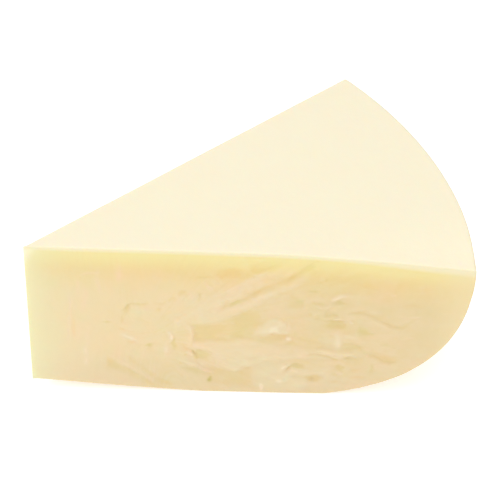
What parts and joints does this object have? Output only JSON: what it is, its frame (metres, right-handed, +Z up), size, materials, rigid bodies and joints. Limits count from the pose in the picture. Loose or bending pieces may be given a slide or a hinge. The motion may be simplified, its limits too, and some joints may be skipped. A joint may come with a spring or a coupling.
{
  "type": "gouda cheese wedge",
  "caption": "Wedge cut from half a gouda wheel: two torn cut faces meet at the tip, with a level cut on top and a rounded rim below.",
  "frame": {"origin": "middle of the wedge's box, on the surface that it rests on", "axes": "+X from the tip to the rim along the middle of the wedge, +Z up to the level cut, and the front cut face on the -Y side"},
  "size_m": [0.1435, 0.1116, 0.0598],
  "materials": {
    "cheese": null
  },
  "bodies": {
    "root": {"gouda_wedge": "cheese"}
  },
  "joints": []
}
